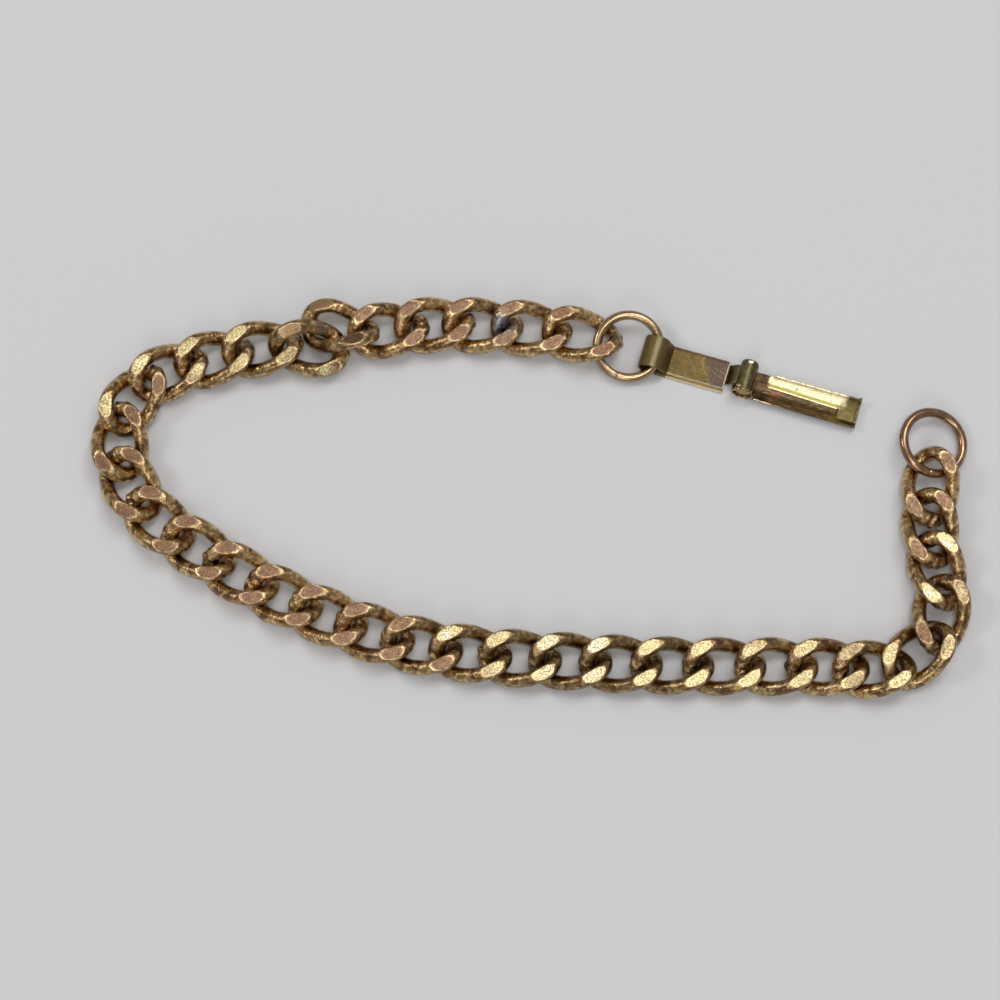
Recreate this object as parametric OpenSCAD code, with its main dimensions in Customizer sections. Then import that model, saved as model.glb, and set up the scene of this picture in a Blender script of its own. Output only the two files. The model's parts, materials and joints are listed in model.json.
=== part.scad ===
// Link bracelet lying open: a curb chain, a jump ring at each end and a fold-over clasp.
// Millimetres. X runs along the chain's long side, Y across, Z up from the surface it lies on.

/* [Curb links] */
// Half the length of a link, to the middle of its wire
link_half_length = 3.30; // [2.5:0.05:4.5]
// Half the width of a link, to the middle of its wire
link_half_width = 2.08; // [1.5:0.02:3]
// How far the twist lifts a crown above the link's middle
link_twist_rise = 0.88; // [0.6:0.01:1.2]
// Share of the rise that broadens each crown
link_crown_share = 0.25; // [0:0.05:0.45]
// Radius of the link wire
link_wire_radius = 0.72; // [0.5:0.01:0.9]
// Height of the ground flats above and below the link's middle
link_flat_height = 1.28; // [1:0.01:1.6]
// Straight pieces round a link's loop
link_stations = 16; // [10:2:16]
// Sides round the link wire
link_wire_sides = 6; // [5:1:6]

/* [Jump rings] */
// Outer diameter of both jump rings
ring_outer_diameter = 7.0; // [5:0.1:9]
// Diameter of the jump ring wire
ring_wire_diameter = 0.93; // [0.6:0.01:1.2]
// How far past the curl's middle the clasp's ring seats
ring_seat = 0.43; // [0.3:0.01:0.5]

/* [Clasp plate] */
// Width of the plate's strip
strip_width = 3.2; // [2:0.1:4]
// Thickness of the strip
strip_thickness = 0.26; // [0.2:0.01:0.35]
// Outer radius of the curl round the jump ring
curl_radius = 1.25; // [1:0.01:2]
// Angle up from the curl's middle at which the upper leaf leaves it
curl_leave_angle = 12; // [5:1:30]
// Distance from the curl's outside to the crease where the upper leaf turns flat
crease_x = 2.83; // [2.7:0.01:3.2]
// Air between the two layers of the leaf
leaf_gap = 0.08; // [0.02:0.01:0.3]
// Distance from the curl's outside to the end of the upper leaf
leaf_end = 8.52; // [6:0.02:9]
// How far the tongue sits to the far side of the strip's middle
tongue_offset = 0.35; // [0:0.05:0.5]
// Width of the tongue's neck
neck_width = 2; // [1:0.05:3]
// Level run of the neck before it rises to the bar
neck_level_run = 0.22; // [0.1:0.01:0.5]
// Thickness of the neck where it runs into the bar
neck_root_thickness = 0.4; // [0.3:0.02:0.5]
// Distance from the curl's outside to the hinge bar
bar_x = 10.4; // [10:0.1:12]
// Radius of the tongue's crossbar, which is the hinge bar
bar_radius = 0.85; // [0.6:0.01:0.95]
// Length of the crossbar
bar_length = 3.5; // [3.3:0.1:4]
// Chamfer on the crossbar's ends
bar_chamfer = 0.18; // [0.05:0.01:0.3]

/* [Clasp lever] */
// Distance from the curl's outside to the open lever's far end
lever_end = 21.7; // [18:0.1:25]
// Width of the lever's trough
lever_width = 3.15; // [2.6:0.05:3.6]
// How far the trough sits to the near side of the strip's middle
lever_offset = 0.1; // [0:0.01:0.3]
// Depth of the trough
lever_depth = 0.8; // [0.4:0.05:1.5]
// Thickness of the lever's strip
lever_thickness = 0.2; // [0.15:0.01:0.4]
// Radial running clearance of the lever's wraps on the bar
wrap_clearance = 0.05; // [0.02:0.01:0.1]
// Gap between each wrap and the neck
wrap_side_gap = 0.12; // [0.05:0.01:0.3]
// Width of the near wrap along the bar
wrap_near_width = 0.65; // [0.3:0.05:0.7]
// Width of the far wrap along the bar
wrap_far_width = 0.4; // [0.3:0.05:0.5]
// Angle at which the wraps open upward
wrap_mouth_angle = 130; // [90:1:160]
// Direction in which the wraps' mouth faces
wrap_mouth_direction = 95; // [70:1:120]
// How far the wraps run into the trough
wrap_overlap = 0.1; // [0.05:0.01:0.15]
// Length of the cut in the trough's far wall beside the bar
wall_cut_length = 1.6; // [0:0.1:4]
// Height that the wall cut leaves
wall_cut_height = 0.3; // [0.2:0.05:0.8]
// Height of the upturned lip at the lever's end
lip_height = 1.1; // [0.8:0.05:2]
// Thickness of the lip
lip_thickness = 0.25; // [0.15:0.01:0.5]
// Length of the catch folded in at the lever's end
catch_length = 2.0; // [1:0.1:4]
// Width of the catch
catch_width = 1.2; // [0.5:0.1:2]
// Height of the catch above the surface
catch_height = 0.42; // [0.3:0.01:0.7]
// How far the catch sits to the near side of the lever's middle
catch_offset = 0.5; // [0:0.05:0.7]

/* [Hidden] */
$fn = 48;

link_count = 34;
LINKS = [for (i = [1 : link_count]) str("link_", i < 10 ? "0" : "", i)];

// Where the chain lies: link number, X and Y. Links between two rows follow a smooth curve.
ROUTE = [
    [1, 5.08, 15.86], [2, 0.16, 16.56], [4, -9.18, 17.04], [5, -13.62, 16.42], [6, -18.36, 16.5],
    [7, -21.28, 14.58], [8, -25.8, 14.58], [10, -34.82, 12.24], [11, -38.12, 9.52],
    [12, -39.3, 5.2], [13, -38.14, 0.88], [14, -35.32, -2.74], [17, -23.32, -10.12],
    [20, -10.2, -14.8], [24, 8.56, -16.5], [28, 27.98, -16.8], [29, 32.36, -17.02],
    [30, 36.54, -15.54], [31, 38.78, -11.76], [32, 38.64, -7.54], [33, 38.08, -3.32],
    [34, 38.26, 0.76]
];

// How single links settle against their neighbours: link number, lift, turn, pitch and roll.
SETTLE = [
    [1, 0.17, -3.4, 0.3, -4.3], [2, 0.05, -2.6, 0.4, 0], [4, 0.02, 4.5, 0.2, -0.3],
    [5, 0.28, 3.8, -4.1, -0.2], [6, 0.54, -30.1, 12.3, -12.6], [7, 0.49, -21.5, -13.6, 23.1],
    [8, 0.17, -1.5, 0.6, 0], [10, 0.09, 1.1, -1.7, 2.9], [11, 0.13, -1.7, -2.3, 0.9],
    [12, 0.1, 3, -0.8, -1.7], [13, 0.06, 1.2, 0.3, -1.1], [14, 0, -5.1, 0, 0],
    [29, 0.14, -7.1, -2.6, 4.8], [30, 0.2, -0.3, -3.5, 2.4], [31, 0.19, 4.3, -1.8, -3.2],
    [32, 0.14, 8.9, 0.9, -3.8], [33, 0.07, 0.9, 0.8, 0.9], [34, 0.1, -3, -1.3, 3]
];

// Where each ring's wire goes through the end link: X, Y, Z, and the ring's turn, pitch and roll.
CLASP_RING = [6.69, 15.68, 1.48, -16.5, -2.3, 12.7];
FREE_RING = [38.45, 2.11, 1.37, 85.2, -1.3, 15.7];

ring_turn_radius = (ring_outer_diameter - ring_wire_diameter) / 2;
clasp_reach = 2 * ring_turn_radius - curl_radius - ring_seat;
clasp_x = CLASP_RING[0] + clasp_reach * cos(CLASP_RING[3]);
clasp_y = CLASP_RING[1] + clasp_reach * sin(CLASP_RING[3]);
CLASP = [clasp_x, clasp_y, 0, CLASP_RING[3], 0, 0];
leaf_top = 2 * strip_thickness + leaf_gap;
curl_middle = [curl_radius, curl_radius];
leaf_root_angle = 25;
lower_leaf_start = 0.3;
bar_z = bar_radius + wrap_clearance + lever_thickness;
wrap_inner_radius = bar_radius + wrap_clearance;
wrap_outer_radius = wrap_inner_radius + lever_thickness;
wrap_inner_y = neck_width / 2 + wrap_side_gap;
wrap_near_edge = tongue_offset - wrap_inner_y - wrap_near_width;
wrap_far_edge = tongue_offset + wrap_inner_y + wrap_far_width;
trough_radius = (lever_width * lever_width / 4 + lever_depth * lever_depth) / (2 * lever_depth);
trough_start = bar_x + wrap_outer_radius - wrap_overlap;
tab_inset = 0.03;
tab_overlap = 0.3;
tab_end_inset = 0.6;
seam_overlap = 0.1;
far = 4 * curl_radius;

function route_xy(k) = [ROUTE[k][1], ROUTE[k][2]];
function route_row(i, k = 0) = k >= len(ROUTE) - 2 || i < ROUTE[k + 1][0] ? k : route_row(i, k + 1);
function route_slope(k) =
    let (a = max(k - 1, 0), b = min(k + 1, len(ROUTE) - 1))
    (route_xy(b) - route_xy(a)) / (ROUTE[b][0] - ROUTE[a][0]);
function place_at(i) =
    let (k = route_row(i), h = ROUTE[k + 1][0] - ROUTE[k][0], u = (i - ROUTE[k][0]) / h)
    (2 * u ^ 3 - 3 * u ^ 2 + 1) * route_xy(k) + (3 * u ^ 2 - 2 * u ^ 3) * route_xy(k + 1)
    + (u ^ 3 - 2 * u ^ 2 + u) * h * route_slope(k) + (u ^ 3 - u ^ 2) * h * route_slope(k + 1);
function heading_at(i) =
    let (k = route_row(i), h = ROUTE[k + 1][0] - ROUTE[k][0], u = (i - ROUTE[k][0]) / h)
    let (d = (6 * u ^ 2 - 6 * u) / h * (route_xy(k) - route_xy(k + 1))
        + (3 * u ^ 2 - 4 * u + 1) * route_slope(k) + (3 * u ^ 2 - 2 * u) * route_slope(k + 1))
    atan2(-d[1], -d[0]);
function settle_of(i) =
    let (found = [for (row = SETTLE) if (row[0] == i) row])
    len(found) > 0 ? found[0] : [i, 0, 0, 0, 0];

// The wire's middle line: an oval whose height is a two-lobed wave with broadened crowns.
function wave(a) = let (s = sin(2 * a)) -link_twist_rise * s * (1 + link_crown_share * (1 - s * s));
function wave_rate(a) =
    let (s = sin(2 * a), c = cos(2 * a))
    -2 * link_twist_rise * c * (1 + link_crown_share * (1 - 3 * s * s));
function middle(a) = [link_half_length * cos(a), link_half_width * sin(a), wave(a)];
function tangent(a) =
    let (t = [-link_half_length * sin(a), link_half_width * cos(a), wave_rate(a)]) t / norm(t);
function wire_point(a, b) =
    let (t = tangent(a), side = cross(t, [0, 0, 1]) / norm(cross(t, [0, 0, 1])), up = cross(side, t))
    middle(a) + link_wire_radius * (cos(b) * side + sin(b) * up);

module link_wire() {
    n = link_stations;
    m = link_wire_sides;
    points = [for (i = [0 : n - 1]) for (j = [0 : m - 1]) wire_point(360 * i / n, 360 * j / m)];
    faces = [for (i = [0 : n - 1]) for (j = [0 : m - 1])
        let (here = i * m, there = ((i + 1) % n) * m, k = (j + 1) % m)
        each [[here + j, here + k, there + k], [here + j, there + k, there + j]]];
    polyhedron(points, faces, convexity = 6);
}

module placed(p) {
    translate([p[0], p[1], p[2]])
        rotate([0, 0, p[3]])
            rotate([0, -p[4], 0])
                rotate([p[5], 0, 0])
                    children();
}

module curb_link(i) {
    xy = place_at(i);
    s = settle_of(i);
    color("darkgoldenrod")
        placed([xy[0], xy[1], link_flat_height + s[1], heading_at(i) + s[2], s[3], s[4]])
            intersection() {
                link_wire();
                cube([4 * link_half_length, 4 * link_half_width, 2 * link_flat_height], center = true);
            }
}

module jump_ring() {
    translate([ring_turn_radius, 0, 0])
        rotate_extrude()
            translate([ring_turn_radius, 0])
                circle(d = ring_wire_diameter);
}

module ring_clasp_end() {
    color("goldenrod")
        placed(CLASP_RING)
            jump_ring();
}

module ring_free_end() {
    color("goldenrod")
        placed(FREE_RING)
            jump_ring();
}

// Draws a side view, in X and Z, across the clasp's width.
module across(width) {
    rotate([90, 0, 0])
        linear_extrude(width, center = true)
            children();
}

module sector(from, to) {
    mid = (from + to) / 2;
    polygon([[0, 0], far * [cos(from), sin(from)], far * [cos(mid), sin(mid)], far * [cos(to), sin(to)]]);
}

module curl_side() {
    translate(curl_middle)
        difference() {
            circle(curl_radius);
            circle(curl_radius - strip_thickness);
        }
}

function curl_wall(angle) = curl_middle + (curl_radius - strip_thickness / 2) * [cos(angle), sin(angle)];

module upper_leaf_side() {
    root = curl_wall(curl_leave_angle);
    bend = atan2(root[1] - leaf_top, crease_x - root[0]);
    under = leaf_top - strip_thickness;
    polygon([
        root, [crease_x, leaf_top], [leaf_end, leaf_top], [leaf_end, under],
        [crease_x - strip_thickness * tan(bend / 2), under], curl_wall(curl_leave_angle - leaf_root_angle)
    ]);
}

module lower_leaf_side() {
    translate([curl_radius + lower_leaf_start, 0])
        square([leaf_end - curl_radius - lower_leaf_start, strip_thickness]);
}

module neck_side() {
    start_x = leaf_end - seam_overlap;
    rise_x = leaf_end + neck_level_run;
    half = neck_root_thickness / 2;
    root_x = bar_x - bar_radius - half;
    polygon([
        [start_x, 0], [rise_x, 0], [root_x, bar_z - half], [bar_x, bar_z - half], [bar_x, bar_z + half],
        [root_x - half, bar_z + half], [rise_x - half, strip_thickness], [start_x, strip_thickness]
    ]);
}

module hinge_bar() {
    core = bar_length / 2 - bar_chamfer;
    tip = bar_radius - bar_chamfer;
    translate([bar_x, 0, bar_z])
        rotate([90, 0, 0]) {
            cylinder(r = bar_radius, h = 2 * core, center = true);
            translate([0, 0, core])
                cylinder(r1 = bar_radius, r2 = tip, h = bar_chamfer);
            translate([0, 0, -core - bar_chamfer])
                cylinder(r1 = tip, r2 = bar_radius, h = bar_chamfer);
        }
}

module clasp_plate() {
    color("darkkhaki")
        placed(CLASP) {
            across(strip_width) {
                curl_side();
                upper_leaf_side();
                lower_leaf_side();
            }
            translate([0, tongue_offset, 0]) {
                across(neck_width)
                    neck_side();
                hinge_bar();
            }
        }
}

module wrap_side() {
    translate([bar_x, bar_z])
        difference() {
            circle(wrap_outer_radius);
            circle(wrap_inner_radius);
            sector(wrap_mouth_direction - wrap_mouth_angle / 2, wrap_mouth_direction + wrap_mouth_angle / 2);
        }
}

module trough_section() {
    intersection() {
        translate([0, trough_radius])
            difference() {
                circle(trough_radius);
                circle(trough_radius - lever_thickness);
            }
        translate([-lever_width / 2, -lever_depth])
            square([lever_width, 2 * lever_depth]);
    }
}

module lip_section() {
    intersection() {
        translate([0, trough_radius])
            circle(trough_radius - tab_inset);
        translate([-lever_width / 2, 0])
            square([lever_width, lip_height]);
    }
}

// Draws a section, in Y and Z, along the lever from one X to another.
module along(from, to) {
    translate([from, 0, 0])
        rotate([90, 0, 90])
            linear_extrude(to - from)
                children();
}

module lever_tab() {
    end_x = trough_start + tab_overlap;
    end_half = lever_width / 2 - tab_end_inset;
    translate([0, 0, tab_inset])
        linear_extrude(lever_thickness - 2 * tab_inset)
            polygon([
                [bar_x, wrap_near_edge], [end_x, -lever_offset - end_half],
                [end_x, -lever_offset + end_half], [bar_x, wrap_far_edge]
            ]);
}

module lever_wraps() {
    translate([0, wrap_near_edge + wrap_near_width / 2, 0])
        across(wrap_near_width)
            wrap_side();
    translate([0, wrap_far_edge - wrap_far_width / 2, 0])
        across(wrap_far_width)
            wrap_side();
}

module lever_trough() {
    difference() {
        along(trough_start, lever_end)
            trough_section();
        translate([trough_start - seam_overlap, 0, wall_cut_height])
            cube([wall_cut_length + seam_overlap, lever_width, lever_depth]);
    }
    along(lever_end - lip_thickness, lever_end)
        lip_section();
    translate([lever_end - catch_length, -catch_offset - catch_width / 2, lever_thickness / 2])
        cube([catch_length - lip_thickness / 2, catch_width, catch_height - lever_thickness / 2]);
}

module clasp_lever() {
    color("gold")
        placed(CLASP) {
            lever_tab();
            lever_wraps();
            translate([0, -lever_offset, 0])
                lever_trough();
        }
}

for (i = [1 : link_count])
    curb_link(i);
ring_clasp_end();
ring_free_end();
clasp_plate();
clasp_lever();
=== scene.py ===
"""Looks of a gold-toned curb link bracelet that lies open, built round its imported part."""
import json
import bpy
import numpy as np
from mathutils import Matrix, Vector


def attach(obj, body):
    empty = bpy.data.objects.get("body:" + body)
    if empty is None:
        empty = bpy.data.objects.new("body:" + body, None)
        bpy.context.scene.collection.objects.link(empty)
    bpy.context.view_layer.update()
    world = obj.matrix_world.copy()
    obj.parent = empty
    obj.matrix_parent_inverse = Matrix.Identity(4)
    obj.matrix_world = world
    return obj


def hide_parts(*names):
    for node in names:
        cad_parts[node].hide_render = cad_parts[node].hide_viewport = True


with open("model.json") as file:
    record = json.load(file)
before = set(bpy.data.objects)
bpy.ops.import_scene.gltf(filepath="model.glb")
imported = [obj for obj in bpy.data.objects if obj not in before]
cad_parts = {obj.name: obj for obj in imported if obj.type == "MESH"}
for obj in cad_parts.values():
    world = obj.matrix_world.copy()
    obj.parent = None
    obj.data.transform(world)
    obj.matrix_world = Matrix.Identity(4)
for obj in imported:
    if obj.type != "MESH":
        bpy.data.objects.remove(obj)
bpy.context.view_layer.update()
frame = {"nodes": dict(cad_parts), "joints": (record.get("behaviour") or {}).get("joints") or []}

# Curb links. Each is a loop of brass wire, twisted so that it lies flat in the chain, soldered
# shut at one end, ground on both faces and plated in a gold colour that has worn to copper.
# Sizes and places are in mm, here as in every section, and MM turns them into metres.
MM = 0.001
LINK_COUNT = 34
LINK_HALF_LENGTH = 3.30
LINK_HALF_WIDTH = 2.08
LINK_TWIST_RISE = 0.86
LINK_CROWN_SHARE = 0.1
LINK_WIRE_RADIUS = 0.705
LINK_FLAT_HEIGHT = 1.28
LINK_RIM_ROUNDING = 0.03
GRIND_BELOW = 0.01
GRIND_ABOVE = 0.07
LINK_TURNS = 144
LINK_SIDES = 32
SWELL_LIMIT = 0.26
SWELL_GAP = 0.018
SWELL_REACH = 0.5
JOINT_LUMPS = 0.11
JOINT_WAVES = (24, 4)
JOINT_REACH = 0.55
WIRE_LUMPS = 0.012
WIRE_WAVES = (9, 3)
CONTACT_REACH = 0.45
FLAT_HALF_LENGTH = 0.9
FLAT_HALF_WIDTH = 0.57
# Where bands start and end round a ground flat, as shares of its half sizes: the flat's own colour, a painted
# highlight along its rim, and painted shade on the wire just beyond it.
FLAT_FALL = (0.96, 1.1)
RIM_RISE, RIM_FALL = (0.92, 1.0), (1.06, 1.16)
SHADE_RISE, SHADE_FALL = (1.05, 1.25), (1.5, 2.2)
# How far below the flats the painted rim highlights reach, and between which heights the bands of painted
# shade start.
RIM_DROP = 0.12
SHADE_HEIGHTS = (0.5, 0.9)
GOLD = (0.80, 0.58, 0.28)
BROWN = (0.45, 0.28, 0.135)
DARK_BROWN = (0.18, 0.10, 0.045)
OLIVE = (0.23, 0.155, 0.07)
COPPER = (0.25, 0.132, 0.078)
COPPER_GOLD = (0.33, 0.20, 0.10)
COPPER_DARK = (0.11, 0.062, 0.04)
# Painted highlight along the rims of the flats.
RIM_HIGHLIGHT = (0.85, 0.68, 0.42)
CREAM = (0.95, 0.87, 0.66)
YELLOW_CREAM = (0.82, 0.70, 0.39)
FLAT_OLIVE = (0.31, 0.225, 0.085)
# Dark brown of grime; where links touch it also stands for painted shade.
GRIME_AND_SHADE = (0.22, 0.13, 0.07)
LEAD_GREY = (0.24, 0.25, 0.28)
FILM_ROUGHNESS = 0.12
# Places where the finish differs: X, Y and radius in mm, and how strongly. In the bright patches the
# flats turn cream: partly plating worn to cream, partly a painted reflection of the flash.
CREAM_WEAR_AND_SHEEN_PATCHES = np.array([
    [-20.0, 12.4, 1.6, 0.7], [-26.5, 15.0, 5.0, 0.85], [-32.2, 13.5, 2.6, 0.9], [-37.2, 13.2, 2.4, 0.9],
    [-40.6, 8.8, 2.2, 0.9], [-7.9, -14.0, 1.9, 1.1], [-5.2, -13.9, 2.6, 1.0], [4.0, -15.5, 9.5, 1.15],
    [13.0, -16.5, 9.0, 0.9], [20.4, -17.4, 3.8, 0.85], [26.0, -17.0, 9.0, 0.62], [34.2, -17.0, 3.6, 0.8],
    [40.0, -15.5, 3.0, 0.6], [40.6, -9.9, 1.3, 0.6], [37.3, -10.2, 1.5, 1.2], [39.3, -5.4, 1.5, 1.25]
])
GREY_PATCHES = np.array([[-2.6, 16.7, 1.15, 1.3], [-20.0, 16.07, 0.6, 1.0]])
BROWN_PATCHES = np.array([[-19.74, 19.16, 1.9, 1.3], [-23.2, 15.8, 1.5, 0.6], [-30.5, -5.0, 2.0, 0.5]])
OLIVE_PATCHES = np.array([[8.0, -16.5, 17.0, 1.1], [-27.0, 15.0, 7.0, 0.6], [36.0, -15.0, 6.0, 0.7]])


def grid_quads(rows, sides, loop):
    """Quads between rings of points, from row i side j to row i + 1 side j + 1. A loop joins the last row
    to the first."""
    i, j = np.meshgrid(np.arange(rows if loop else rows - 1), np.arange(sides), indexing="ij")
    here, there, k = i * sides, ((i + 1) % rows) * sides, (j + 1) % sides
    return np.stack([here + j, here + k, there + k, there + j], -1).reshape(-1, 4)


def tube_piece(name, points, loop, body, slot, node, material, **values):
    """Puts in a piece from rows of points round it, in mm, with a face over each end when it isn't a loop,
    and keeps each value on its points."""
    rows, sides = points.shape[:2]
    faces = grid_quads(rows, sides, loop).tolist()
    if not loop:
        faces += [list(range(sides))[::-1], list(range((rows - 1) * sides, rows * sides))]
    mesh = bpy.data.meshes.new(name)
    mesh.from_pydata((points.reshape(-1, 3) * MM).tolist(), [], faces)
    mesh.shade_smooth()
    for key, value in values.items():
        kind, field = ("FLOAT_VECTOR", "vector") if np.ndim(value) == 3 else ("FLOAT", "value")
        data = np.broadcast_to(value, points.shape if kind == "FLOAT_VECTOR" else points.shape[:2])
        mesh.attributes.new(key, kind, "POINT").data.foreach_set(field, data.ravel().astype(np.float32))
    mesh.materials.append(material)
    piece = bpy.data.objects.new(name, mesh)
    bpy.context.scene.collection.objects.link(piece)
    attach(piece, body)
    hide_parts(node)


def step(x, low, high):
    """0 below low, 1 above high, and 3u² - 2u³ between them, u being the share of the way."""
    u = np.clip((x - low) / (high - low), 0, 1)
    return u * u * (3 - 2 * u)


def band(x, rise, fall):
    """0 before the rise, 1 between it and the fall, and 0 after the fall."""
    return step(x, *rise) * (1 - step(x, *fall))


def pose_of(node):
    """A solid's middle in mm and its axes as columns, longest first: the eigenvectors of its surface's
    second moment, the sum over triangles of area * (sum of p pᵀ + s sᵀ), p being its corners from the
    middle and s their sum."""
    mesh = frame["nodes"][node].data
    mesh.calc_loop_triangles()
    corners = np.empty(len(mesh.vertices) * 3)
    mesh.vertices.foreach_get("co", corners)
    index = np.empty(len(mesh.loop_triangles) * 3, np.int32)
    mesh.loop_triangles.foreach_get("vertices", index)
    p = corners.reshape(-1, 3)[index].reshape(-1, 3, 3) / MM
    area = np.linalg.norm(np.cross(p[:, 1] - p[:, 0], p[:, 2] - p[:, 0]), axis=1)
    middle = (area[:, None] * p.mean(1)).sum(0) / area.sum()
    q = p - middle
    s = q.sum(1)
    moment = np.einsum("t,tvi,tvj->ij", area, q, q) + np.einsum("t,ti,tj->ij", area, s, s)
    axes = np.linalg.eigh(moment)[1][:, ::-1]
    axes[:, 2] *= 1 if axes[2, 2] > 0 else -1
    axes[:, 0] *= 1 if axes[0, 0] > 0 else -1
    axes[:, 1] = np.cross(axes[:, 2], axes[:, 0])
    return middle, axes


def link_middle_line(t):
    """(a cos t, b sin t, -c s (1 + k (1 - s²))), s being sin 2t."""
    s = np.sin(2 * t)
    z = -LINK_TWIST_RISE * s * (1 + LINK_CROWN_SHARE * (1 - s * s))
    return np.stack([LINK_HALF_LENGTH * np.cos(t), LINK_HALF_WIDTH * np.sin(t), z], -1)


def directions(line, sides):
    """Unit vectors round a closed line: cos b * side + sin b * up, side being tangent x Z made one long
    and up being tangent x side."""
    tangent = np.roll(line, -1, 0) - np.roll(line, 1, 0)
    tangent /= np.linalg.norm(tangent, axis=1)[:, None]
    side = np.cross(tangent, [0, 0, 1])
    side /= np.linalg.norm(side, axis=1)[:, None]
    up = np.cross(tangent, side)
    b = np.linspace(0, 2 * np.pi, sides, endpoint=False)[None, :, None]
    return np.cos(b) * side[:, None] + np.sin(b) * up[:, None]


def nearest_of(ends, point):
    """Which of two ends is nearer a point."""
    return np.argmin(np.linalg.norm(ends - point, axis=1))


def lumps(t, b, seed, waves):
    """A smooth random surface over both angles: a third of a sum of ten sin(m t + p) sin(n b + q), with whole
    m and n up to waves."""
    rng = np.random.default_rng(seed)
    total = 0
    for _ in range(10):
        m, n = rng.integers(waves[0] // 3, waves[0] + 1), rng.integers(1, waves[1] + 1)
        total = total + np.sin(m * t + rng.uniform(0, 6.28)) * np.sin(n * b + rng.uniform(0, 6.28))
    return total / 3


def link_rows(swell, joint_end, seed):
    """Rows round a link's wire: its middle line plus (r + thickenings) * direction. The inside of each end
    is thicker by swell * exp(-(sin t / reach)²) * inwardness^1.5, and the joint end is lumpy."""
    t = turns[:, None]
    b = np.linspace(0, 2 * np.pi, LINK_SIDES, endpoint=False)[None]
    away = directions(link_line, LINK_SIDES)
    end_side = np.where(link_line[:, None, 0] > 0, 1, -1)
    inward = np.clip(-away[..., 0] * end_side, 0, 1)
    near_end = np.exp(-(np.sin(t) / SWELL_REACH) ** 2)
    thicker = np.where(end_side > 0, swell[0], swell[1]) * near_end * inward ** 1.5
    joint = np.exp(-(np.sin(t) / JOINT_REACH) ** 2) * (end_side == (1, -1)[joint_end]) * (1 - inward)
    rough = JOINT_LUMPS * joint * lumps(t, b, seed, JOINT_WAVES)
    rough = rough + WIRE_LUMPS * lumps(t, b, seed + 500, WIRE_WAVES)
    points, cut = ground(link_line[:, None] + (LINK_WIRE_RADIUS + thicker + rough)[..., None] * away)
    height = np.abs(points[..., 2])
    along = np.hypot(LINK_HALF_LENGTH, LINK_HALF_WIDTH) / np.sqrt(2) * np.arcsin(np.abs(np.cos(2 * t))) / 2
    sideways = LINK_WIRE_RADIUS * np.hypot(away[..., 0], away[..., 1])
    oval = np.hypot(along / FLAT_HALF_LENGTH, sideways / FLAT_HALF_WIDTH)
    # A painted highlight along the rounded rim just below each flat.
    rim = band(oval, RIM_RISE, RIM_FALL) * (height > LINK_FLAT_HEIGHT - RIM_DROP)
    # Painted shade on the wire just beyond each flat.
    shade = band(oval, SHADE_RISE, SHADE_FALL) * step(height, *SHADE_HEIGHTS)
    return points, cut * (1 - step(oval, *FLAT_FALL)), joint, rim, shade


def ground(points):
    """Flats at both heights: |z| becomes -w log(exp(-|z| / w) + exp(-h / w)), w being the rim's rounding.
    Also gives where metal was ground off: 1 on the flats."""
    z = points[..., 2]
    width, top = LINK_RIM_ROUNDING, LINK_FLAT_HEIGHT
    flat = -width * np.logaddexp(-np.abs(z) / width, -top / width)
    out = points.copy()
    out[..., 2] = np.sign(z) * flat
    return out, step(np.abs(z), top - GRIND_BELOW, top + GRIND_ABOVE)


class Value:
    """A socket of the material being built. Arithmetic on it adds the node that does it."""

    def __init__(self, tree, socket=None):
        self.tree = tree
        self.socket = socket

    def new(self, kind, settings=None, sockets=None, result=0):
        """Adds a node of this kind with its settings and sockets, and gives one of its results."""
        node = self.tree.nodes.new("ShaderNode" + kind)
        for key, value in (settings or {}).items():
            setattr(node, key, value)
        for key, value in (sockets or {}).items():
            if isinstance(value, Value):
                self.tree.links.new(value.socket, node.inputs[key])
            else:
                node.inputs[key].default_value = value
        return Value(self.tree, node.outputs[result])

    def math(self, operation, a, b=0.0):
        return self.new("Math", {"operation": operation}, {0: a, 1: b})

    def __add__(self, other):
        return self.math("ADD", self, other)

    def __mul__(self, other):
        return self.math("MULTIPLY", self, other)

    def __sub__(self, other):
        return self.math("SUBTRACT", self, other)

    def __rsub__(self, other):
        return self.math("SUBTRACT", other, self)

    __radd__ = __add__
    __rmul__ = __mul__

    def attribute(self, name, result=2):
        """A value kept on the mesh: result 2 reads a number and result 1 a vector."""
        return self.new("Attribute", {"attribute_name": name}, result=result)

    def place(self):
        """The place on the object in mm."""
        where = self.new("TexCoord", result=3)
        return self.new("VectorMath", {"operation": "MULTIPLY"}, {0: where, 1: [1 / MM] * 3})

    def noise(self, scale, detail=3, roughness=0.6, where=None):
        """Noise with this many waves to the mm, here or where another vector says."""
        sockets = {"Vector": where or self.place(), "Scale": scale, "Detail": detail, "Roughness": roughness}
        return self.new("TexNoise", None, sockets)

    def most(self, other):
        """The larger of two values."""
        return self.math("MAXIMUM", self, other)

    def least(self, other):
        """The smaller of two values."""
        return self.math("MINIMUM", self, other)

    def parts(self):
        """The X, Y and Z of a vector."""
        x = self.new("SeparateXYZ", None, {0: self})
        return x, Value(self.tree, x.socket.node.outputs[1]), Value(self.tree, x.socket.node.outputs[2])

    def near(self, width):
        """1 where this is 0, falling to 0 where it is as large as the width."""
        return 1 - self.math("ABSOLUTE", self).between(0.0, width)

    def between(self, low, high):
        """0 below low, 1 above high, with a smooth step between them."""
        settings = {"interpolation_type": "SMOOTHSTEP"}
        return self.new("MapRange", settings, {0: self, 1: low, 2: high})

    def mix(self, a, b):
        """Colour a where this is 0 and colour b where it is 1."""
        colours = [c if isinstance(c, Value) else (*c, 1) for c in (a, b)]
        return self.new("Mix", {"data_type": "RGBA"}, {0: self, 6: colours[0], 7: colours[1]}, result=2)


def new_material(name):
    """A new material and the value that its nodes grow from."""
    material = bpy.data.materials.new(name)
    material.use_nodes = True
    return material, Value(material.node_tree)


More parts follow.
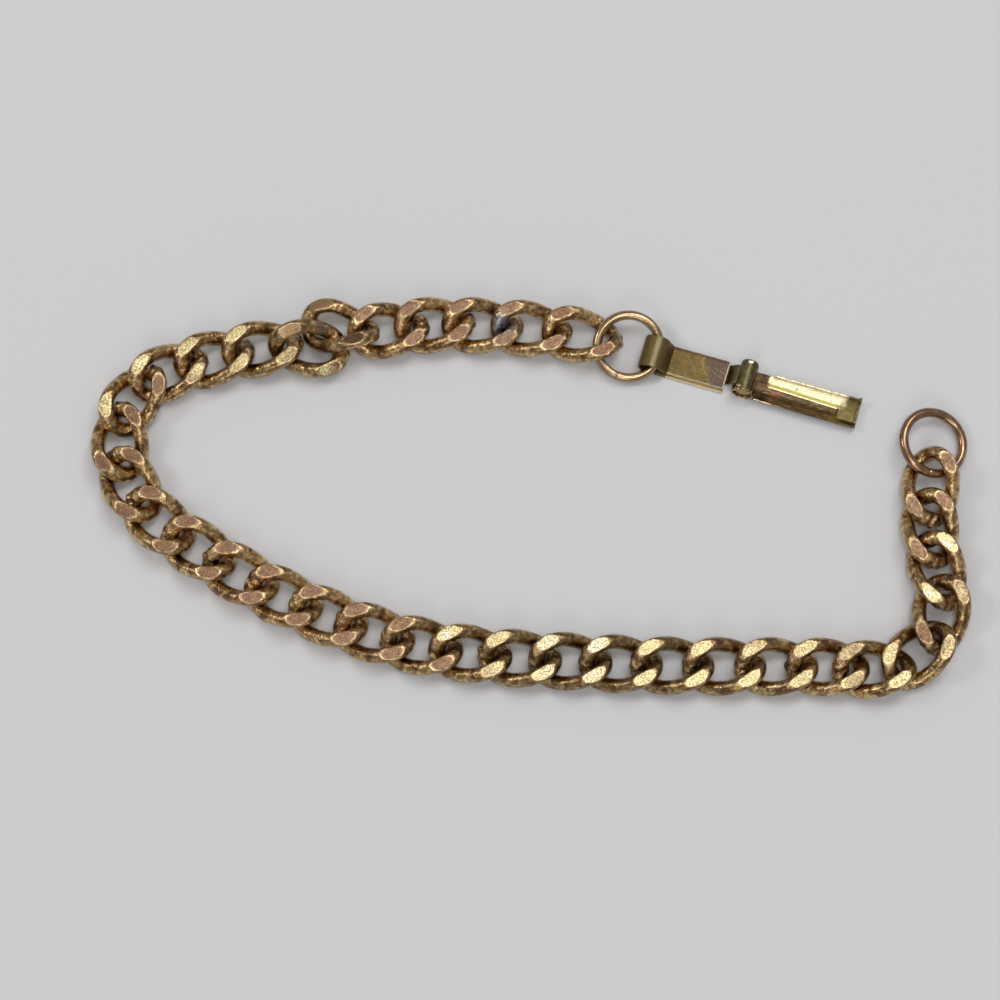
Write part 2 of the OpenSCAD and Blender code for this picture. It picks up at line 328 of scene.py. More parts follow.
def coat(material, colour, roughness, height, depth, film):
    """Joins a colour, a roughness and a height with its depth in mm to the material's shader, as metal
    under a thin clear film of the given weight."""
    tree = material.node_tree
    shader = tree.nodes["Principled BSDF"]
    shader.inputs["Metallic"].default_value = 1.0
    shader.inputs["Coat Weight"].default_value = film
    shader.inputs["Coat Roughness"].default_value = FILM_ROUGHNESS
    bump = height.new("Bump", None, {"Distance": depth * MM, "Height": height})
    tree.links.new(colour.socket, shader.inputs["Base Color"])
    tree.links.new(roughness.socket, shader.inputs["Roughness"])
    tree.links.new(bump.socket, shader.inputs["Normal"])


link_gold, v = new_material("link gold with painted light")
cut, bright, contact, joint = (v.attribute(key) for key in ("cut", "bright", "contact", "joint"))
cloud = v.noise(0.8, 4)
patch = v.noise(2.2, 3, 0.6)
fine = v.noise(7.0, 3, 0.7)
speckle = v.noise(7.0, 2, 0.6)
wire = v.attribute("olive").mix(BROWN, OLIVE)
wire = (patch.between(0.44, 0.60) * (1 - 0.5 * v.attribute("olive"))).mix(wire, GOLD)
wire = cloud.between(0.50, 0.62).mix(wire, DARK_BROWN)
wire = (fine.between(0.55, 0.72) * 0.7).mix(wire, DARK_BROWN)
rosy = patch.between(0.42, 0.62).mix(COPPER, COPPER_GOLD)
rosy = (speckle.between(0.47, 0.57) * 0.85).mix(rosy, COPPER_DARK)
# Cream flats where the bright patches lie: partly plating worn to cream, partly a painted reflection of the
# flash.
pale = bright.between(0.95, 1.12).mix(YELLOW_CREAM, CREAM)
pale = speckle.between(0.46, 0.56).mix(pale, FLAT_OLIVE)
flat = bright.between(0.25, 0.75).mix(rosy, pale)
flat = v.attribute("brown").between(0.2, 0.8).mix(flat, BROWN)
# Painted shade on the wire round each flat.
wire = (v.attribute("shade") * 0.45).mix(wire, DARK_BROWN)
face = cut.between(0.3, 0.7).mix(wire, flat)
# A painted highlight along the rim of each flat.
face = (v.attribute("rim") * (0.05 + 0.55 * patch)).mix(face, RIM_HIGHLIGHT)
face = (v.attribute("grey") * 0.9 * (1 - 0.8 * cut)).mix(face, LEAD_GREY)
# Darker where other links come near: grime, and painted shade in the crossings.
face = (contact.between(0.2, 0.9) * 0.35 * (1 - 0.8 * cut)).mix(face, GRIME_AND_SHADE)
shine = 0.09 + 0.14 * fine + 0.16 * cut + 0.08 * contact
relief = speckle * cut * 0.5 + (patch + 0.25 * fine) * (1 - 0.8 * cut) * (1 + 1.8 * joint)
coat(link_gold, face, shine, relief, 0.075, film=0.15)

links = ["link_%02d" % (i + 1) for i in range(LINK_COUNT)]
turns = np.linspace(0, 2 * np.pi, LINK_TURNS, endpoint=False)
link_line = link_middle_line(turns)
poses = {node: pose_of(node) for node in links + ["ring_clasp_end", "ring_free_end"]}
lines = {node: link_line @ poses[node][1].T + poses[node][0] for node in links}


def nearness(points, others):
    """How near each point comes to other links' wires: 1 where they would touch, and 0 from CONTACT_REACH
    away."""
    near = np.zeros(points.shape[:2])
    for other in others:
        away = np.linalg.norm(points[:, :, None] - lines[other][None, None, ::2], axis=-1).min(2)
        near = np.maximum(near, 1 - np.clip((away - LINK_WIRE_RADIUS) / CONTACT_REACH, 0, 1))
    return near


def patched(points, patches):
    """How strongly each point lies in some patches: the largest of strength * exp(-(distance / radius)²)."""
    reach = np.linalg.norm(points[:, :, None, :2] - patches[None, None, :, :2], axis=-1) / patches[:, 2]
    return (patches[:, 3] * np.exp(-reach ** 2)).max(2)


for i, node in enumerate(links):
    middle, axes = poses[node]
    ends = lines[node][[0, LINK_TURNS // 2]]
    swell = np.zeros(2)
    neighbours = links[max(i - 1, 0):i] + links[i + 1:i + 2]
    for other in neighbours:
        other_ends = lines[other][[0, LINK_TURNS // 2]]
        mine = nearest_of(ends, poses[other][0])
        free = np.linalg.norm(ends[mine] - other_ends[nearest_of(other_ends, middle)]) - 2 * LINK_WIRE_RADIUS
        swell[mine] = np.clip(free / 2 - SWELL_GAP, 0, SWELL_LIMIT)
    before = poses[links[i - 1] if i else "ring_clasp_end"][0]
    rows, link_cut, joint_share, rim_highlight, shade = link_rows(swell, nearest_of(ends, before), i)
    points = rows @ axes.T + middle
    tube_piece(
        "curb_" + node, points, True, "bracelet", "link_brass", node, link_gold,
        cut=link_cut, joint=joint_share, rim=rim_highlight, shade=shade, contact=nearness(points, neighbours),
        bright=patched(points, CREAM_WEAR_AND_SHEEN_PATCHES), grey=patched(points, GREY_PATCHES),
        brown=patched(points, BROWN_PATCHES), olive=patched(points, OLIVE_PATCHES)
    )

# Jump rings. Two rings of drawn wire join the chain to the clasp and close the bracelet. Their
# ends meet at a fine split, and they are smoother and redder than the links.
RING_TURN_RADIUS = 3.035
RING_WIRE_RADIUS = 0.46
RING_TURNS = 180
RING_SIDES = 24
SPLIT_WIDTH = 0.05
SPLIT_DEPTH = 0.12
RING_GOLD = (0.42, 0.29, 0.16)
RING_ROSE = (0.29, 0.155, 0.09)
RING_DARK = (0.14, 0.08, 0.045)
# Each ring's node, the angle in radians at which its ends meet, and how rosy it is.
RINGS = (("ring_clasp_end", 4.29, 0.1), ("ring_free_end", 4.5, 1.0))


def ring_rows(split_at):
    """Rows of wire of radius r (1 - d exp(-(R (t - split) / w)²)) round a circle of radius R, and how far
    each row is in the split."""
    t = np.linspace(0, 2 * np.pi, RING_TURNS, endpoint=False)
    line = RING_TURN_RADIUS * np.stack([np.cos(t), np.sin(t), 0 * t], -1)
    away = RING_TURN_RADIUS * (np.mod(t - split_at + np.pi, 2 * np.pi) - np.pi)
    split = np.exp(-(away / SPLIT_WIDTH) ** 2)
    radius = RING_WIRE_RADIUS * (1 - SPLIT_DEPTH * split)
    return line[:, None] + radius[:, None, None] * directions(line, RING_SIDES), split


ring_gold, v = new_material("smooth ring gold")
cloud = v.noise(0.9, 3)
fine = v.noise(6.0, 3, 0.6)
face = (v.attribute("rose") * cloud.between(0.30, 0.55)).mix(RING_GOLD, RING_ROSE)
face = (fine.between(0.52, 0.72) * 0.6).mix(face, RING_DARK)
face = v.attribute("split").between(0.3, 0.9).mix(face, GRIME_AND_SHADE)
coat(ring_gold, face, 0.13 + 0.12 * fine, cloud + 0.3 * fine, 0.02, film=0.5)

for node, split_at, rose in RINGS:
    middle, axes = poses[node]
    rows, split = ring_rows(split_at)
    x_axis = np.cross([0, 1, 0], axes[:, 2])
    x_axis /= np.linalg.norm(x_axis)
    level = np.stack([x_axis, np.cross(axes[:, 2], x_axis), axes[:, 2]], 1)
    tube_piece(
        "jump_" + node, rows @ level.T + middle, True, "bracelet", "ring_brass", node, ring_gold,
        split=np.repeat(split[:, None], RING_SIDES, 1), rose=rose
    )

# Clasp plate. A strip of brass folded on itself: a curl round the jump ring, an upper leaf, and a
# lower leaf that runs on as a tongue with a crossbar, on which the lever turns.
hinge = frame["joints"][0]
hinge_at = np.array(hinge["pos_m"]) / MM
across = -np.array(hinge["axis"])
along = np.array([across[1], -across[0], 0])
clasp_axes = np.stack([along, across, [0, 0, 1]], 1)
BAR_X = 10.4
BAR_Z = 1.1
clasp_at = hinge_at - clasp_axes @ [BAR_X, 0, BAR_Z]
STRIP_THICKNESS = 0.26
STRIP_POINTS = 420
CURL_RADIUS = 1.25
CURL_LEAVE = 12.0
CURL_POINTS = 90
CREASE_X = 2.83
LEAF_TOP = 0.60
LEAF_END = 8.52
LEAF_POINTS = 60
LOWER_NEAR = -1.64
UPPER_NEAR = -1.30
STRIP_FAR = 1.57
# Between which lengths run along the strip the lower leaf turns into the upper one.
UPPER_STARTS = (11.6, 14.5)
NEAR_WANDER = 0.015
FAR_NICKS = 0.05
TONGUE_Y = 0.35
# The tongue's line in X and Z, from under the leaf up to the bar's middle.
TONGUE_LINE = np.array([
    [LEAF_END - 0.3, STRIP_THICKNESS / 2], [LEAF_END + 0.1, STRIP_THICKNESS / 2], [LEAF_END + 0.35, 0.28],
    [9.15, 0.85], [9.45, 1.06], [9.75, BAR_Z], [10.1, BAR_Z]
])
TONGUE_THICKNESS = (0.24, 0.38)
NECK_WIDTH = 2.0
BAR_RADIUS = 0.845
BAR_HALF = 1.745
BAR_KNOB = 0.5
BAR_POWER = 2.6
BAR_LUMPS = 0.012
PLATE_GOLD = (0.26, 0.17, 0.05)
PLATE_LIGHT = (0.47, 0.34, 0.135)
PLATE_RED = (0.13, 0.055, 0.035)
PLATE_OLIVE = (0.165, 0.125, 0.05)
CURL_RIDGE_HIGHLIGHT = (0.42, 0.35, 0.20)
TARNISH = (0.17, 0.12, 0.11)
HEAD_OLIVE = (0.115, 0.10, 0.055)
# Pale gold of scratched bare metal and of painted highlights.
SCRATCH_AND_HIGHLIGHT_GOLD = (0.95, 0.82, 0.58)
# Scratches across the plate: the line a X + b Y = c, as a, b and c, and from which X to which.
SCRATCHES = [(0.45, 0.89, 3.42, 5.6, 8.3), (-0.62, 0.78, -5.05, 6.4, 7.6), (0.30, 0.95, 2.75, 6.9, 8.4)]
SCRATCH_WIDTH = 0.05
SCRATCH_FADE = 0.3


def resampled(path, count):
    """Points spaced evenly along a line of points, and the distance run at each."""
    run = np.concatenate([[0], np.cumsum(np.linalg.norm(np.diff(path, axis=0), axis=1))])
    at = np.linspace(0, run[-1], count)
    return np.stack([np.interp(at, run, path[:, k]) for k in range(path.shape[1])], 1), at


def rounded(path, passes):
    """The line with each inner point moved to (before + 2 point + after) / 4, this many times over."""
    out = path.copy()
    for _ in range(passes):
        out[1:-1] = (out[:-2] + 2 * out[1:-1] + out[2:]) / 4
    return out


def strip_section(width_count, edge_count):
    """Points round a strip's section: u from -1 to 1 across it, n from -1 to 1 through it, and how far the
    half-round edges bulge."""
    u = np.linspace(1, -1, width_count)
    a = np.linspace(np.pi / 2, 3 * np.pi / 2, edge_count + 2)[1:-1]
    flat_u = np.concatenate([u, -np.ones(edge_count), u[::-1], np.ones(edge_count)])
    flat_n = np.concatenate([np.ones(width_count), np.sin(a), -np.ones(width_count), -np.sin(a)])
    bulge = np.concatenate([np.zeros(width_count), np.cos(a), np.zeros(width_count), -np.cos(a)])
    return flat_u, flat_n, bulge


def strip_rows(path, thickness, near, far, width_count=28, edge_count=5):
    """Rows round a strip bent along a path in X and Z: path + n t / 2 * normal, and y running between the
    near and the far edge, with half-round edges."""
    tangent = np.gradient(path, axis=0)
    tangent /= np.linalg.norm(tangent, axis=1)[:, None]
    normal = np.stack([-tangent[:, 1], tangent[:, 0]], 1)
    u, n, bulge = strip_section(width_count, edge_count)
    half = np.broadcast_to(np.asarray(thickness) / 2, (len(path),))[:, None]
    xz = path[:, None] + (half * n[None])[..., None] * normal[:, None]
    inner_near = near[:, None] + half
    inner_far = far[:, None] - half
    y = inner_near + (inner_far - inner_near) * (u[None] + 1) / 2 + bulge[None] * half
    return np.stack([xz[..., 0], y, xz[..., 1]], -1)


def wander(x, seed, waves=6, longest=1.6):
    """A smooth random line between about -1 and 1: a sum of sines, each 1.7 times shorter and 1.35 times
    lower than the one before."""
    rng = np.random.default_rng(seed)
    total = 0
    for k in range(waves):
        total = total + np.sin(2 * np.pi * x * 1.7 ** k / longest + rng.uniform(0, 6.28)) / 1.35 ** k
    return total / 2.2


def clasp_piece(name, rows, body, node, material):
    """Puts in a clasp piece whose rows are given from the clasp's own corner, and keeps that place on it."""
    placed = rows @ clasp_axes.T + clasp_at
    tube_piece(name, placed, False, body, "clasp_brass", node, material, clasp=rows)


curl_turn = np.radians(np.linspace(-90, -360 + CURL_LEAVE, CURL_POINTS))
curl_mid = CURL_RADIUS - STRIP_THICKNESS / 2
curl = CURL_RADIUS + curl_mid * np.stack([np.cos(curl_turn), np.sin(curl_turn)], 1)
upper_mid, lower_mid = LEAF_TOP - STRIP_THICKNESS / 2, STRIP_THICKNESS / 2
lower_leaf = np.stack([np.linspace(LEAF_END, CURL_RADIUS, LEAF_POINTS), np.full(LEAF_POINTS, lower_mid)], 1)
upper_leaf = np.stack([np.linspace(CREASE_X, LEAF_END, LEAF_POINTS), np.full(LEAF_POINTS, upper_mid)], 1)
path = resampled(np.concatenate([lower_leaf[:-1], curl, upper_leaf]), STRIP_POINTS)[0]
path, run = resampled(rounded(path, 2), STRIP_POINTS)
is_upper = step(run, *UPPER_STARTS)
near_edge = LOWER_NEAR + (UPPER_NEAR - LOWER_NEAR) * is_upper + NEAR_WANDER * wander(run, 1)
far_edge = STRIP_FAR - FAR_NICKS * np.abs(wander(run, 2, longest=0.9)) * (0.3 + 0.7 * is_upper)
strip = strip_rows(path, STRIP_THICKNESS, near_edge, far_edge)

plate_gold, v = new_material("plate gold with scratches and painted highlights")
spot = v.attribute("clasp", 1)
x, y, z = spot.parts()
cloud = v.noise(1.3, 5, 0.65)
grain = v.noise(3.5, 3, 0.6)
fine = v.noise(8.0, 4, 0.7)
brushed = v.noise(1.0, 4, 0.7, where=v.new(
    "Mapping", None, {"Vector": spot, "Rotation": (0, 0, 0.5), "Scale": (2.0, 14.0, 2.0)}
))
leaf_part = x.between(2.75, 2.95)
face = cloud.between(0.35, 0.65).mix(PLATE_GOLD, PLATE_OLIVE)
# Painted shade: the curl darker olive than the leaves.
face = ((1 - leaf_part) * 0.5).mix(face, PLATE_OLIVE)
# A painted highlight along the curl's ridge.
face = ((x - 1.35).near(0.42) * (1 - leaf_part)).mix(face, CURL_RIDGE_HIGHLIGHT)
face = (brushed.between(0.50, 0.64) * leaf_part * 0.8).mix(face, PLATE_LIGHT)
tarnish = (x + 1.4 * cloud + 0.25 * y).between(7.0, 7.7)
face = (tarnish * grain.between(0.3, 0.55)).mix(face, TARNISH)
face = (fine.between(0.55, 0.72) * 0.75).mix(face, DARK_BROWN)
bend = (x - 5.9 - 0.42 * ((0.9 - y) * (0.9 - y)).least(2.4)).near(0.12)
scratched = bend * 0.3 * grain.between(0.35, 0.6)
for a, b, c, first, last in SCRATCHES:
    length = x.between(first, first + SCRATCH_FADE) * (1 - x.between(last - SCRATCH_FADE, last))
    scratch = (a * x + b * y - c + 0.25 * cloud).near(SCRATCH_WIDTH) * length
    scratched = scratched.most(scratch * 0.45 * grain.between(0.42, 0.6))
shelf = (1 - y.between(UPPER_NEAR - 0.01, UPPER_NEAR + 0.01)) * leaf_part
face = (shelf * 0.8).mix(face, PLATE_LIGHT)
ragged = (y - 0.9 * grain + 0.45).between(STRIP_FAR - 0.34, STRIP_FAR - 0.26) * leaf_part
face = (ragged * 0.85).mix(face, PLATE_RED)
# Painted highlights: bright lines along the near edges, the leaf's end and, in glints, the far edge.
edges = (y - UPPER_NEAR - 0.03).near(0.07).most((y - LOWER_NEAR - 0.04).near(0.09))
rim = edges * leaf_part * fine.between(0.30, 0.48)
end_rim = (x + 0.06 * grain).between(LEAF_END - 0.10, LEAF_END - 0.05) * z.between(0.2, 0.5)
far_rim = (y - STRIP_FAR + 0.08).near(0.09) * fine.between(0.50, 0.58) * leaf_part
# Scratches show bare gold; the edge lines are painted highlights.
wear_and_highlights = (scratched * z.between(0.5, 0.56)).most(rim).most(end_rim * 0.7).most(far_rim * 0.5)
face = wear_and_highlights.mix(face, SCRATCH_AND_HIGHLIGHT_GOLD)
coat(plate_gold, face, 0.26 + 0.22 * fine - 0.08 * wear_and_highlights, brushed + cloud + 0.5 * fine, 0.07, film=0.02)

clasp_piece("clasp_strip", strip, "bracelet", "clasp_plate", plate_gold)

head_olive, v = new_material("dark tongue brass")
x, y, z = v.attribute("clasp", 1).parts()
fine = v.noise(7.0, 4, 0.7)
cloud = v.noise(1.8, 3)
face = cloud.between(0.4, 0.6).mix(HEAD_OLIVE, PLATE_OLIVE)
face = (fine.between(0.50, 0.70) * 0.8).mix(face, GRIME_AND_SHADE)
face = ((1 - y.between(-1.15, -1.0)) * (0.4 + fine)).mix(face, PLATE_LIGHT)
# A painted highlight on the top of the bar's far knob.
knob_highlight = ((x - 10.5 + 0.15 * fine).near(0.45) * (y - 1.72).near(0.28) * z.between(1.3, 1.5)).between(0.1, 0.5)
face = knob_highlight.mix(face, SCRATCH_AND_HIGHLIGHT_GOLD)
coat(head_olive, face, 0.24 + 0.2 * fine - 0.1 * knob_highlight, cloud + 0.4 * fine, 0.06, film=0.08)

tongue_path = rounded(resampled(TONGUE_LINE, 60)[0], 12)
tongue_thickness = np.linspace(*TONGUE_THICKNESS, len(tongue_path))
tongue_near = np.full(len(tongue_path), TONGUE_Y - NECK_WIDTH / 2)
tongue = strip_rows(tongue_path, tongue_thickness, tongue_near, tongue_near + NECK_WIDTH, 16)
clasp_piece("clasp_tongue", tongue, "bracelet", "clasp_plate", head_olive)


def bar_rows(rows_count=60, sides=40):
    """Rows round the bar: radius r (1 - ((|y| - e) / k)^q)^(1 / q) within k of each end, q being the power,
    and hammered a little uneven."""
    y = BAR_HALF * np.sin(np.linspace(-np.pi / 2, np.pi / 2, rows_count + 2)[1:-1])[:, None]
    into = np.clip((np.abs(y) - (BAR_HALF - BAR_KNOB)) / BAR_KNOB, 0, 1)
    a = np.linspace(0, 2 * np.pi, sides, endpoint=False)[None]
    radius = BAR_RADIUS * (1 - into ** BAR_POWER) ** (1 / BAR_POWER)
    radius = radius * (1 + BAR_LUMPS * lumps(2 * y, a, 71, (6, 4)))
    rows = np.stack([BAR_X + radius * np.cos(a), TONGUE_Y + y + 0 * a, BAR_Z + radius * np.sin(a)], -1)
    return rows[:, ::-1]


clasp_piece("clasp_crossbar", bar_rows(), "bracelet", "clasp_plate", head_olive)

# Clasp lever. A trough of thin sheet brass with two wraps that turn on the crossbar, an upturned
# lip and a small catch folded in at its far end. It lies open; its inside is painted in bands of reflection.
LEVER_START = 11.4
LEVER_END = 21.68
LEVER_Y = -0.1
LEVER_WIDTH = 3.14
LEVER_DEPTH = 0.8
LEVER_THICKNESS = 0.2
LEVER_DENTS = 0.008
LEVER_LOWEST = 0.003
# How far, in radians of the trough's arc, its rims are uneven, and its far rim is cut down by the hinge.
NEAR_RIM_WANDER = 0.015
FAR_RIM_NICKS = 0.03
FAR_RIM_CUT = 0.55
FAR_RIM_CUT_ENDS = (12.6, 13.2)
# The fold line along the trough's floor: its Y at one X, its slope, height and width.
FOLD_X = 11.7
FOLD_Y = 0.25
FOLD_SLOPE = 0.03
FOLD_HEIGHT = 0.035
FOLD_WIDTH = 0.09
WRAP_INNER = 0.9
NEAR_WRAP_Y = -1.50
NEAR_WRAP_WIDTH = 0.73
FAR_WRAP_Y = 1.47
FAR_WRAP_WIDTH = 0.40
WRAP_POINTS = 90
TAB_THICKNESS = 0.15
TAB_END = 12.95
TAB_Z = 0.1
TAB_RISE = 0.06
TAB_NEAR = -0.7
TAB_FAR = 1.42
TAB_NICKS = 0.04
LIP_THICKNESS = 0.26
LIP_SPAN = 0.98
LIP_MIDDLE = 0.55
LIP_TOP = 0.62
LIP_FAR_RISE = 0.46
LIP_NEAR_RISE = 0.2
LIP_WANDER = 0.04
LIP_TUCK = 0.02
CATCH_START = 19.6
CATCH_NEAR = -1.12
CATCH_WIDTH = 1.2
CATCH_TOP = 0.39
CATCH_THICKNESS = 0.09
LEVER_GOLD = (0.92, 0.78, 0.48)
LEVER_BROWN = (0.062, 0.038, 0.015)
LEVER_DARK = (0.065, 0.042, 0.02)
LEVER_RED = (0.16, 0.065, 0.04)
LEVER_OLIVE = (0.30, 0.27, 0.07)
LEVER_END_OLIVE = (0.13, 0.10, 0.035)

lever_gold, v = new_material("lever gold with painted reflections")
spot = v.attribute("clasp", 1)
x, y, z = spot.parts()
cloud = v.noise(1.1, 4, 0.6)
grain = v.noise(3.5, 3, 0.6)
fine = v.noise(8.0, 3, 0.7)
drawn = v.noise(1.2, 3, 0.6, where=v.new("Mapping", None, {"Vector": spot, "Scale": (0.8, 9.0, 3.0)}))
across_y = y + FOLD_SLOPE * (x - FOLD_X)
# The trough's dark near half: painted reflection of dark surroundings.
face = (cloud.between(0.45, 0.62) * (1 - x.between(12.5, 15.5))).mix(LEVER_BROWN, LEVER_RED)
face = (drawn.between(0.54, 0.66) * 0.16).mix(face, LEVER_GOLD)
# Painted reflections across the trough: an olive band, a bright far wall and a pale highlight along the fold
# line.
face = across_y.between(0.18, 0.30).mix(face, LEVER_OLIVE)
face = (across_y + 0.15 * drawn).between(0.62, 0.78).mix(face, LEVER_GOLD)
face = (across_y - FOLD_Y).near(0.075).mix(face, SCRATCH_AND_HIGHLIGHT_GOLD)
face = (grain.between(0.60, 0.70) * 0.8).mix(face, DARK_BROWN)
# Painted glints along the near rim.
face = ((1 - across_y.between(-1.56, -1.48)) * grain.between(0.42, 0.5)).mix(face, SCRATCH_AND_HIGHLIGHT_GOLD)
crumpled = (1 - x.between(11.5, 11.7)) * (1 - y.between(-0.9, -0.75))
face = crumpled.mix(face, grain.between(0.45, 0.6).mix(LEVER_DARK, GOLD))
face = (1 - x.between(12.4, 12.9)).least(across_y.between(-0.2, 0.3)).mix(face, LEVER_DARK)
face = ((1 - x.between(11.5, 11.7)) * (1 - crumpled)).mix(face, LEVER_DARK)
end = (x + 1.2 * cloud - 0.5 * across_y).between(19.7, 20.6)
face = end.mix(face, (grain.between(0.5, 0.6) * 0.5).mix(LEVER_END_OLIVE, LEVER_DARK))
coat(lever_gold, face, 0.14 + 0.2 * fine + 0.1 * end, drawn + 0.5 * grain, 0.03, film=0.04)

trough_radius = (LEVER_WIDTH ** 2 / 4 + LEVER_DEPTH ** 2) / (2 * LEVER_DEPTH)
trough_edge = np.arccos((trough_radius - LEVER_DEPTH) / trough_radius)


def trough_rows(rows_count=160, arc_count=56):
    """Rows round the trough: an arc from rim to rim, its radius R - t / 2 - n t / 2 for n from -1 to 1
    through the sheet, with half-round rims, and a low fold line, h exp(-((y - l) / w)²), along its floor."""
    x = np.linspace(LEVER_START, LEVER_END, rows_count)
    u, n, bulge = strip_section(arc_count, 5)
    mid = trough_radius - LEVER_THICKNESS / 2
    rim = LEVER_THICKNESS / 2 / mid
    far_edge = trough_edge - FAR_RIM_NICKS * np.abs(wander(x, 5, longest=1.0))
    far_edge = far_edge - FAR_RIM_CUT * (1 - step(x, *FAR_RIM_CUT_ENDS))
    near_edge = trough_edge - NEAR_RIM_WANDER * np.abs(wander(x, 6))
    opening = (far_edge + near_edge - 2 * rim)[:, None]
    angle = rim - near_edge[:, None] + opening * (u[None] + 1) / 2 + bulge[None] * rim
    radius = mid - n[None] * LEVER_THICKNESS / 2 + LEVER_DENTS * lumps(x[:, None], 2 * angle, 33, (3, 2))
    y = radius * np.sin(angle)
    fold_y = FOLD_Y - FOLD_SLOPE * (x[:, None] - FOLD_X) - LEVER_Y
    z = trough_radius - radius * np.cos(angle) + FOLD_HEIGHT * np.exp(-((y - fold_y) / FOLD_WIDTH) ** 2)
    return np.stack([np.repeat(x[:, None], len(u), 1), LEVER_Y + y, np.maximum(z, LEVER_LOWEST)], -1)


clasp_piece("lever_trough", trough_rows(), "lever", "clasp_lever", lever_gold)

tab_x = np.linspace(BAR_X, TAB_END, 60)
tab_path = np.stack([tab_x, TAB_Z + TAB_RISE * step(tab_x, 11.6, 12.6)], 1)
tab_near = NEAR_WRAP_Y + (TAB_NEAR - NEAR_WRAP_Y) * step(tab_x, 10.9, 11.9)
tab_far = FAR_WRAP_Y + FAR_WRAP_WIDTH + (TAB_FAR - FAR_WRAP_Y - FAR_WRAP_WIDTH) * step(tab_x, 10.8, 11.3)
tab_far = tab_far - TAB_NICKS * np.abs(wander(tab_x, 15, longest=0.8))
tab = strip_rows(tab_path, TAB_THICKNESS, tab_near, tab_far, 16, 4)
clasp_piece("lever_tab", tab, "lever", "clasp_lever", lever_gold)


def wrap_rows(near, width, first, last, unevenness):
    """Rows round a wrap: a strip bent round the bar from a first to a last angle in degrees, its near edge
    uneven by so much."""
    turn = np.radians(np.linspace(first, last, WRAP_POINTS))
    radius = WRAP_INNER + LEVER_THICKNESS / 2
    path = np.array([BAR_X, BAR_Z]) + radius * np.stack([np.cos(turn), np.sin(turn)], 1)
    near_edge = np.full(WRAP_POINTS, near) + unevenness * wander(turn, 9)
    return strip_rows(path, LEVER_THICKNESS, near_edge, np.full(WRAP_POINTS, near + width), 10)


near_wrap = wrap_rows(NEAR_WRAP_Y, NEAR_WRAP_WIDTH, 105, 425, 0.06)
far_wrap = wrap_rows(FAR_WRAP_Y, FAR_WRAP_WIDTH, 240, 322, 0)
clasp_piece("lever_wrap_near", near_wrap, "lever", "clasp_lever", lever_gold)
clasp_piece("lever_wrap_far", far_wrap, "lever", "clasp_lever", head_olive)


def lip_rows(rows_count=9, sides=64):
    """Rows through the lip: the trough's inner arc, closed by an uneven top that is highest at its far
    corner, and drawn in a little towards both faces."""
    a = np.linspace(-1, 1, sides // 2)
    low_y = LIP_SPAN * LEVER_WIDTH / 2 * a
    low_z = trough_radius - np.sqrt((trough_radius - 0.03) ** 2 - low_y ** 2)
    top_z = LIP_TOP + LIP_FAR_RISE * step(a, 0.55, 0.9) + LIP_WANDER * wander(a * 2, 12)
    top_z = top_z + LIP_NEAR_RISE * step(-a, 0.6, 0.95)
    ring_y = np.concatenate([low_y, low_y[::-1]])
    ring_z = np.concatenate([low_z, np.maximum(top_z[::-1], low_z[::-1] + 0.03)])
    x = np.linspace(LEVER_END - LIP_THICKNESS, LEVER_END, rows_count)
    tuck = 1 - LIP_TUCK * np.abs(np.linspace(-1, 1, rows_count)) ** 4
    return np.stack([
        np.repeat(x[:, None], len(ring_y), 1), LEVER_Y + tuck[:, None] * ring_y,
        LIP_MIDDLE + tuck[:, None] * (ring_z - LIP_MIDDLE)
    ], -1)


clasp_piece("lever_lip", lip_rows(), "lever", "clasp_lever", lever_gold)

catch_path = np.array([
    [CATCH_START, 0.16], [CATCH_START + 0.02, CATCH_TOP - 0.03], [CATCH_START + 0.15, CATCH_TOP],
    [LEVER_END - 0.28, CATCH_TOP], [LEVER_END - 0.13, 0.3]
])
catch_path = rounded(resampled(catch_path, 60)[0], 4)
catch_near = np.full(len(catch_path), CATCH_NEAR)
catch = strip_rows(catch_path, CATCH_THICKNESS, catch_near, catch_near + CATCH_WIDTH, 10, 4)
clasp_piece("lever_catch", catch, "lever", "clasp_lever", lever_gold)

# Floor and light. A plain pale floor just under the bracelet, and square soft boxes round it in a
# pale room. Their sizes are in metres.
FLOOR_SIZE = 6.0
FLOOR_DROP = 0.00003
FLOOR_GREY = (0.69, 0.69, 0.70, 1)
ROOM_WHITE = (1.0, 0.985, 0.97, 1)
ROOM_STRENGTH = 0.36

bpy.ops.mesh.primitive_plane_add(size=FLOOR_SIZE, location=(0, 0, -FLOOR_DROP))
floor = bpy.context.object
floor.name = "floor"
pale_floor = new_material("pale floor")[0]
shader = pale_floor.node_tree.nodes["Principled BSDF"]
shader.inputs["Base Color"].default_value = FLOOR_GREY
shader.inputs["Roughness"].default_value = 0.9
shader.inputs["Specular IOR Level"].default_value = 0.2
floor.data.materials.append(pale_floor)


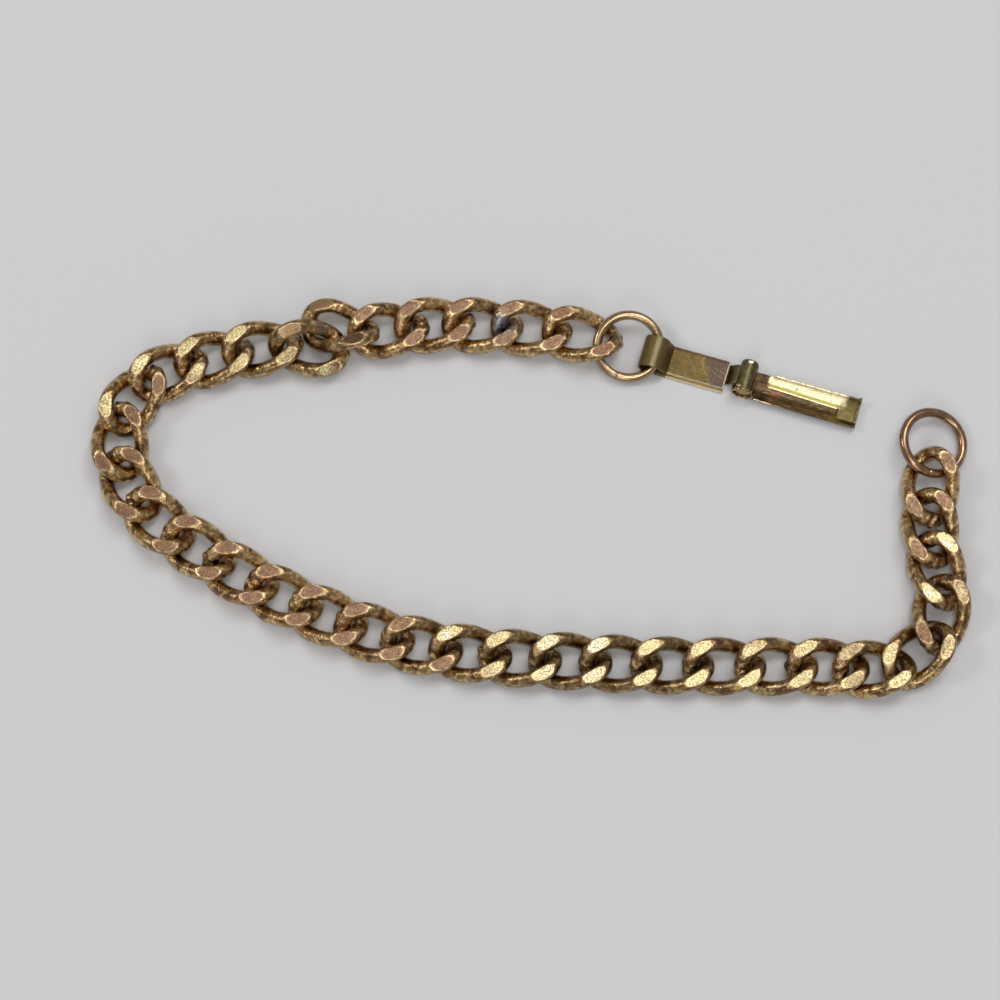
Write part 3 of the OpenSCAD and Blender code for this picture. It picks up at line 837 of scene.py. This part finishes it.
def soft_box(name, azimuth, elevation, distance, size, power):
    """A square light that looks at the bracelet, its direction in degrees, its distance and size in metres
    and its power in watts."""
    a, e = np.radians(azimuth), np.radians(elevation)
    away = np.array([np.cos(a) * np.cos(e), np.sin(a) * np.cos(e), np.sin(e)])
    data = bpy.data.lights.new(name, "AREA")
    data.size = size
    data.energy = power
    light = bpy.data.objects.new(name, data)
    bpy.context.scene.collection.objects.link(light)
    light.location = away * distance
    light.rotation_mode = "QUATERNION"
    light.rotation_quaternion = Vector(-away).to_track_quat("-Z", "Y")


soft_box("key", 52, 58, 0.9, 0.34, 1.4)
soft_box("top", -80, 74, 0.9, 0.2, 1.0)
soft_box("front", -105, 40, 1.0, 0.42, 1.0)
soft_box("left", 168, 42, 1.0, 0.22, 1.3)
soft_box("above", 80, 76, 0.7, 0.24, 0.62)

world = bpy.data.worlds.new("studio")
bpy.context.scene.world = world
world.use_nodes = True
background = world.node_tree.nodes["Background"]
background.inputs["Color"].default_value = ROOM_WHITE
background.inputs["Strength"].default_value = ROOM_STRENGTH
bpy.context.scene.view_settings.view_transform = "Standard"

# Camera. It looks down steeply with a long lens, as the photograph does, aimed at the middle of the
# bracelet, and its lens gives the photograph's pixels to the mm at the height of the flats.
CAMERA_TILT = np.radians(15)
CAMERA_DISTANCE = 300.0
CAMERA_AIM = np.array([-2.83, -0.53, 1.3])
PICTURE_PIXELS = 1000
PIXELS_PER_MM = 10.526
SENSOR_WIDTH = 36
flats_above_aim = 2 * LINK_FLAT_HEIGHT - CAMERA_AIM[2]
focal_pixels = PIXELS_PER_MM * (CAMERA_DISTANCE - flats_above_aim * np.cos(CAMERA_TILT))
camera_away = CAMERA_DISTANCE * np.array([0, -np.sin(CAMERA_TILT), np.cos(CAMERA_TILT)])

camera_data = bpy.data.cameras.new("camera")
camera_data.sensor_width = SENSOR_WIDTH
camera_data.lens = SENSOR_WIDTH * focal_pixels / PICTURE_PIXELS
camera = bpy.data.objects.new("camera", camera_data)
bpy.context.scene.collection.objects.link(camera)
camera.location = (CAMERA_AIM + camera_away) * MM
camera.rotation_euler = (CAMERA_TILT, 0, 0)
camera_data.clip_start = 0.01
camera_data.clip_end = 20
bpy.context.scene.camera = camera
